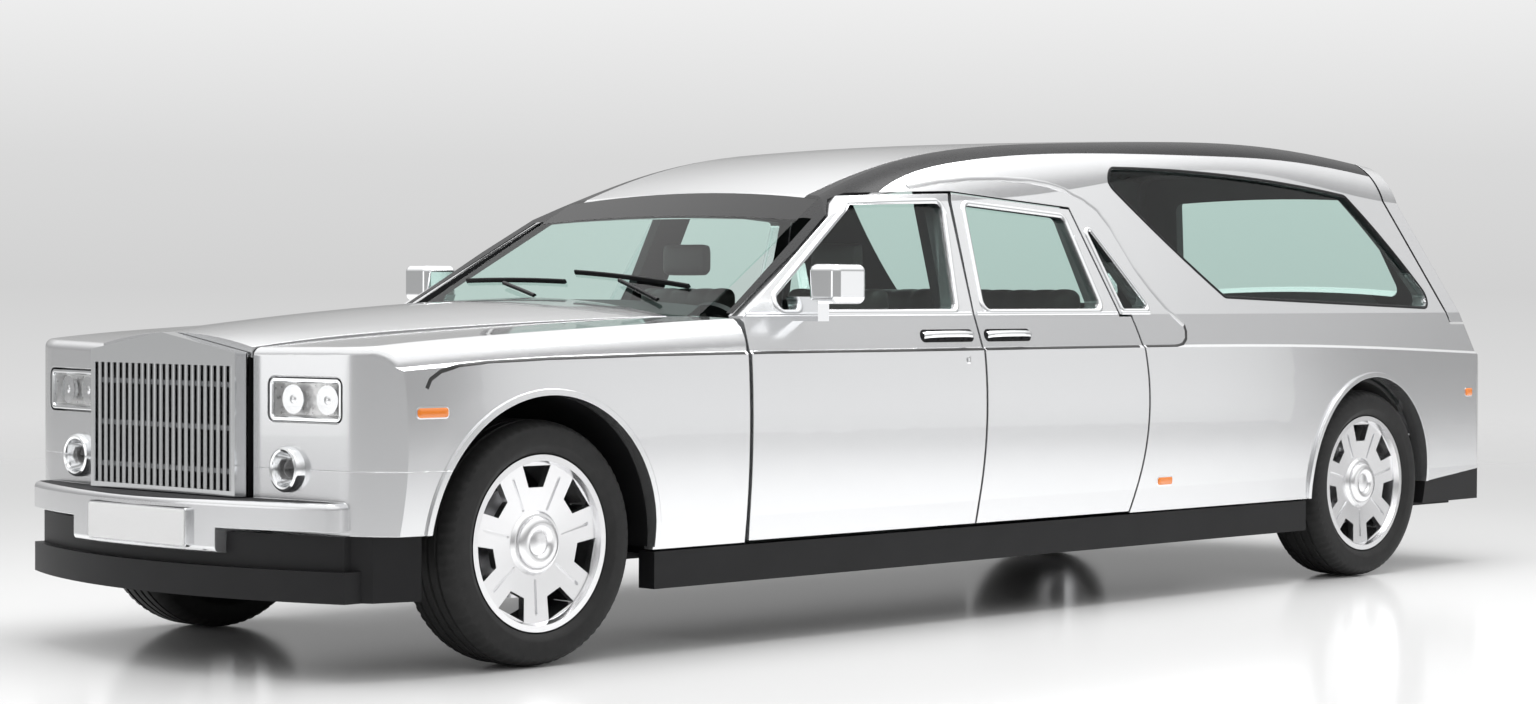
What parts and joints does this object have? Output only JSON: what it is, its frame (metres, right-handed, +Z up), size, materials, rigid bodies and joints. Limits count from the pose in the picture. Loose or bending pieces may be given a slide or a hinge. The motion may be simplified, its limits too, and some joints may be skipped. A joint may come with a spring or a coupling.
{
  "type": "hearse",
  "caption": "Silver hearse on a stretched luxury saloon base, with an upright slatted grille, raised long roof, large side windows and a rear loading tailgate.",
  "frame": {"origin": "middle of the bounding box at ground level", "axes": "+X to the front of the car, +Y to its left, +Z up"},
  "size_m": [6.7, 2.3, 1.8404],
  "materials": {
    "silver_paint": "satin metallic lacquer",
    "black_trim": "satin black",
    "gloss_black": "polished black",
    "glass": "green tinted",
    "chrome": "polished",
    "lamp_clear": "clear lens",
    "lamp_red": "red lens",
    "carpet": "short pile",
    "leather": "grained",
    "dash_plastic": "grained",
    "cast_metal": "dark",
    "tyre_rubber": "matt",
    "alloy": "polished"
  },
  "bodies": {
    "body": {"roof": "silver_paint", "body_side_left": "silver_paint", "body_side_right": "silver_paint", "front_wing_left": "silver_paint", "front_wing_right": "silver_paint", "front_bumper": "silver_paint", "front_valance": "black_trim", "sills": "black_trim", "rear_bumper": "black_trim", "floor_pan": "black_trim", "centre_posts": "black_trim", "bulkhead": "black_trim", "radiator_support": "black_trim", "partition": "black_trim", "windscreen": "glass", "side_glass_left": "glass", "side_glass_right": "glass", "grille_surround": "chrome", "grille_slats": "chrome", "roof_rails": "gloss_black", "wheelhouse_liners": "black_trim", "headlamps": "lamp_clear", "tail_lamps": "lamp_red", "load_deck": "carpet", "front_seats": "leather", "rear_seat": "leather", "dashboard": "dash_plastic", "steering_wheel": "dash_plastic", "engine": "cast_metal", "front_axle": "cast_metal", "rear_axle": "cast_metal"},
    "front_road_wheel_left": {"front_tyre_left": "tyre_rubber", "front_wheel_left": "alloy"},
    "front_road_wheel_right": {"front_tyre_right": "tyre_rubber", "front_wheel_right": "alloy"},
    "rear_road_wheel_left": {"rear_tyre_left": "tyre_rubber", "rear_wheel_left": "alloy"},
    "rear_road_wheel_right": {"rear_tyre_right": "tyre_rubber", "rear_wheel_right": "alloy"},
    "steering_knuckle_left": {"knuckle_left": "cast_metal"},
    "front_door_body_left": {"front_door_left": "silver_paint", "front_door_glass_left": "glass", "mirror_left": "chrome"},
    "rear_door_body_left": {"rear_door_left": "silver_paint", "rear_door_glass_left": "glass"},
    "steering_knuckle_right": {"knuckle_right": "cast_metal"},
    "front_door_body_right": {"front_door_right": "silver_paint", "front_door_glass_right": "glass", "mirror_right": "chrome"},
    "rear_door_body_right": {"rear_door_right": "silver_paint", "rear_door_glass_right": "glass"},
    "bonnet_lid": {"bonnet": "silver_paint"},
    "tailgate_lid": {"tailgate": "silver_paint", "tailgate_glass": "glass"}
  },
  "joints": [
    {"name": "steer_left", "type": "hinge", "parent": "body", "child": "steering_knuckle_left", "pos_m": [2.45, 0.745, 0.395], "axis": [0, 0, 1], "range_deg": [-35, 35]},
    {"name": "front_wheel_spin_left", "type": "hinge", "parent": "steering_knuckle_left", "child": "front_road_wheel_left", "pos_m": [2.45, 0.828, 0.395], "axis": [0, 1, 0], "continuous": true},
    {"name": "rear_wheel_spin_left", "type": "hinge", "parent": "body", "child": "rear_road_wheel_left", "pos_m": [-2.26, 0.828, 0.395], "axis": [0, 1, 0], "continuous": true},
    {"name": "front_door_hinge_left", "type": "hinge", "parent": "body", "child": "front_door_body_left", "pos_m": [1.365, 0.962, 0.7], "axis": [0, 0, -1], "range_deg": [0, 70]},
    {"name": "rear_door_hinge_left", "type": "hinge", "parent": "body", "child": "rear_door_body_left", "pos_m": [-0.5, 0.962, 0.7], "axis": [0, 0, 1], "range_deg": [0, 75]},
    {"name": "steer_right", "type": "hinge", "parent": "body", "child": "steering_knuckle_right", "pos_m": [2.45, -0.745, 0.395], "axis": [0, 0, 1], "range_deg": [-35, 35]},
    {"name": "front_wheel_spin_right", "type": "hinge", "parent": "steering_knuckle_right", "child": "front_road_wheel_right", "pos_m": [2.45, -0.828, 0.395], "axis": [0, 1, 0], "continuous": true},
    {"name": "rear_wheel_spin_right", "type": "hinge", "parent": "body", "child": "rear_road_wheel_right", "pos_m": [-2.26, -0.828, 0.395], "axis": [0, 1, 0], "continuous": true},
    {"name": "front_door_hinge_right", "type": "hinge", "parent": "body", "child": "front_door_body_right", "pos_m": [1.365, -0.962, 0.7], "axis": [0, 0, 1], "range_deg": [0, 70]},
    {"name": "rear_door_hinge_right", "type": "hinge", "parent": "body", "child": "rear_door_body_right", "pos_m": [-0.5, -0.962, 0.7], "axis": [0, 0, -1], "range_deg": [0, 75]},
    {"name": "bonnet_hinge", "type": "hinge", "parent": "body", "child": "bonnet_lid", "pos_m": [1.64, 0, 1.096], "axis": [0, -1, 0], "range_deg": [0, 50]},
    {"name": "tailgate_hinge", "type": "hinge", "parent": "body", "child": "tailgate_lid", "pos_m": [-2.838, 0, 1.776], "axis": [0, 1, 0], "range_deg": [0, 75]}
  ],
  "couplings": [
    {"joint": "steer_right", "follows": "steer_left", "ratio": 1}
  ]
}
